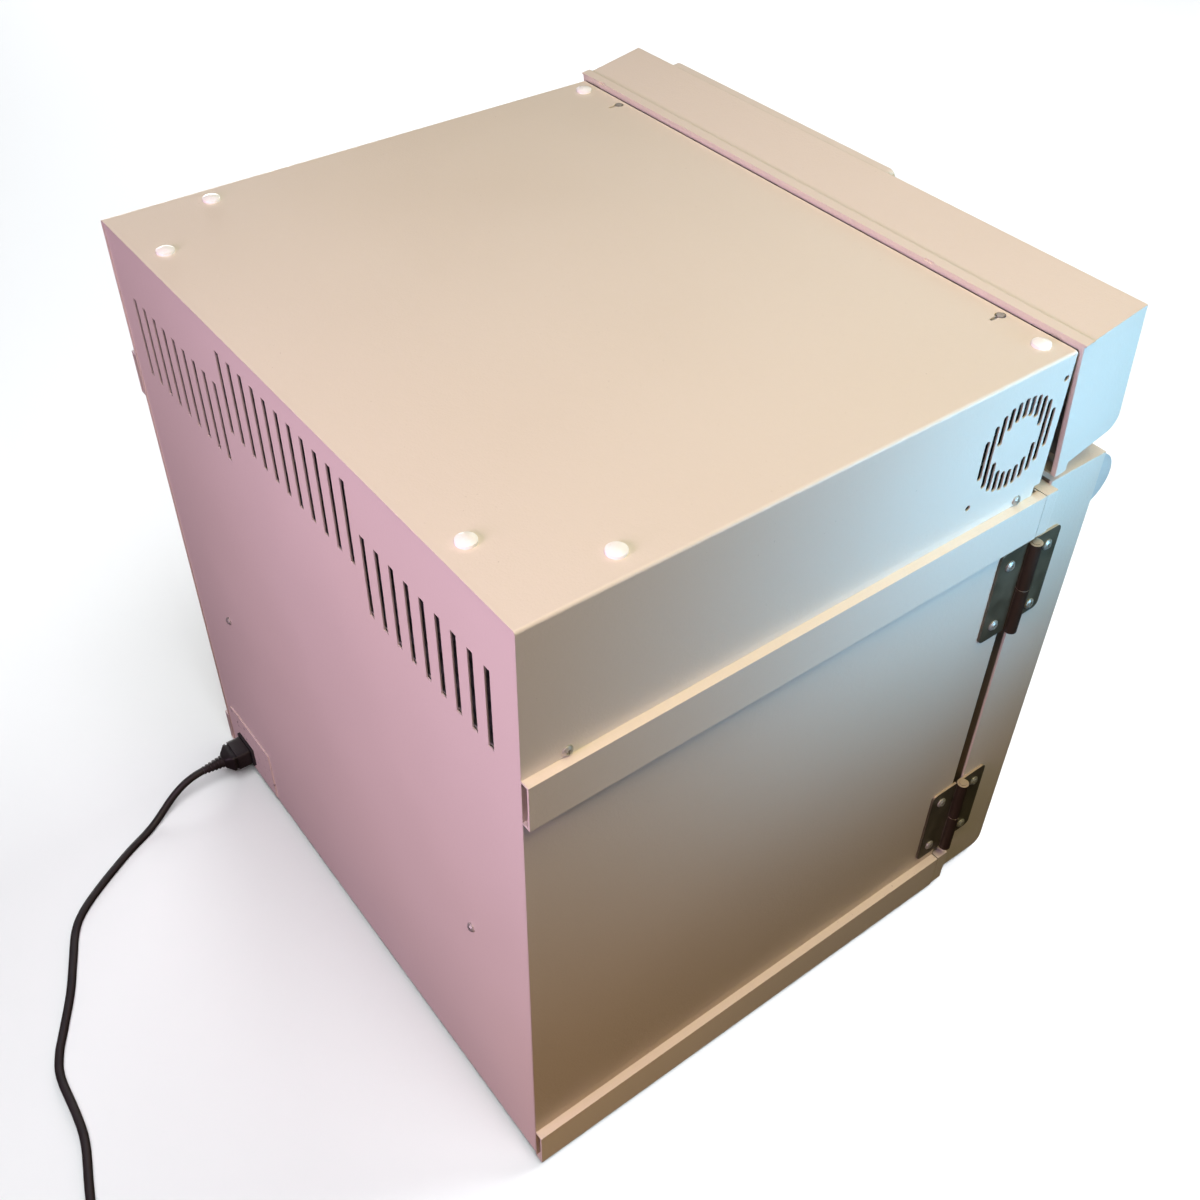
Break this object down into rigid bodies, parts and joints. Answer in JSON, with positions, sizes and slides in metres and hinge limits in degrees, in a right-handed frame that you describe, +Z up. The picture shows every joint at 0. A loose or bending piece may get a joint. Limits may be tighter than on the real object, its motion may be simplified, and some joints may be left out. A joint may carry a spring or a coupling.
{
  "type": "laboratory incubator",
  "caption": "Bench incubator: painted sheet steel case with a slotted hood, tilted control console, side-hinged insulated door, shelved steel chamber and mains lead",
  "frame": {"origin": "middle of the footprint of the incubator without its mains lead, at bench level", "axes": "+Z up, -Y towards the front where the door opens, +X to the right of someone facing the front; the hinges are on the -X side"},
  "size_m": [0.537, 0.908, 0.5767],
  "materials": {
    "painted_case": "light textured powder coat",
    "painted_rails": "light textured powder coat, chipped at edges",
    "plain_sheet": "zinc-plated sheet",
    "stainless": "brushed stainless steel",
    "screw_steel": "bright plated",
    "hinge_steel": "dark stained steel with worn edges",
    "white_plug": "satin",
    "black_rubber": "matte",
    "seal_rubber": "matte",
    "wool": "matte",
    "foam": "matte",
    "heater_foil": "matte silicone",
    "board": "satin",
    "black_plastic": "satin",
    "grey_plastic": "satin",
    "panel_plastic": "satin",
    "window": "gloss",
    "cap_plastic": "satin",
    "iron_core": "varnished laminations"
  },
  "bodies": {
    "root": {"base_plate": "plain_sheet", "feet": "black_rubber", "side_panels": "painted_case", "upper_rails": "painted_rails", "lower_rails": "painted_rails", "back_panel": "painted_case", "back_screws": "screw_steel", "hood_cover": "painted_case", "hood_plugs": "white_plug", "hood_screws": "screw_steel", "deck_plate": "plain_sheet", "front_bulkhead": "plain_sheet", "front_frame": "painted_case", "chamber_liner": "stainless", "insulation": "wool", "floor_heater": "heater_foil", "shelf_runners": "stainless", "shelf_lower": "stainless", "shelf_upper": "stainless", "temperature_probe": "stainless", "transformer": "iron_core", "controller_board": "board", "fan_bracket": "plain_sheet", "fan_frame": "black_plastic", "console_shell": "painted_case", "console_collar": "painted_case", "console_brackets": "plain_sheet", "fascia": "panel_plastic", "display_window": "window", "switch_bezel": "black_plastic", "hinge_body_leaves": "hinge_steel", "hinge_pins": "hinge_steel", "hinge_body_screws": "screw_steel", "catch_magnets": "plain_sheet", "inlet_plate": "painted_case", "power_inlet": "black_plastic", "mains_connector": "black_rubber", "mains_cord": "black_rubber", "cord_coil": "black_rubber", "mains_plug": "black_rubber"},
    "door": {"door_skin": "painted_case", "door_inner_frame": "painted_case", "door_inner_panel": "stainless", "door_insulation": "foam", "door_seal": "seal_rubber", "door_handle": "painted_case", "handle_end_caps": "cap_plastic", "hinge_door_leaves": "hinge_steel", "hinge_door_screws": "screw_steel"},
    "fan": {"fan_rotor": "black_plastic"},
    "rocker": {"power_rocker": "black_plastic"},
    "key_1": {"key_1": "grey_plastic"},
    "key_2": {"key_2": "grey_plastic"},
    "key_3": {"key_3": "grey_plastic"},
    "key_4": {"key_4": "grey_plastic"}
  },
  "joints": [
    {"name": "door_hinge", "type": "hinge", "parent": "root", "child": "door", "pos_m": [-0.2635, -0.18, 0.229], "axis": [0, 0, -1], "range_deg": [0, 170]},
    {"name": "fan_spin", "type": "hinge", "parent": "root", "child": "fan", "pos_m": [-0.2445, -0.13, 0.509], "axis": [1, 0, 0], "continuous": true},
    {"name": "rocker_tilt", "type": "hinge", "parent": "root", "child": "rocker", "pos_m": [-0.1985, -0.22936, 0.53605], "axis": [1, 0, 0], "range_deg": [-16, 0]},
    {"name": "key_1_press", "type": "slide", "parent": "root", "child": "key_1", "axis": [0, 0.9945, -0.1045], "range_m": [0, 0.001], "stiffness_N_per_m": 300},
    {"name": "key_2_press", "type": "slide", "parent": "root", "child": "key_2", "axis": [0, 0.9945, -0.1045], "range_m": [0, 0.001], "stiffness_N_per_m": 300},
    {"name": "key_3_press", "type": "slide", "parent": "root", "child": "key_3", "axis": [0, 0.9945, -0.1045], "range_m": [0, 0.001], "stiffness_N_per_m": 300},
    {"name": "key_4_press", "type": "slide", "parent": "root", "child": "key_4", "axis": [0, 0.9945, -0.1045], "range_m": [0, 0.001], "stiffness_N_per_m": 300}
  ]
}
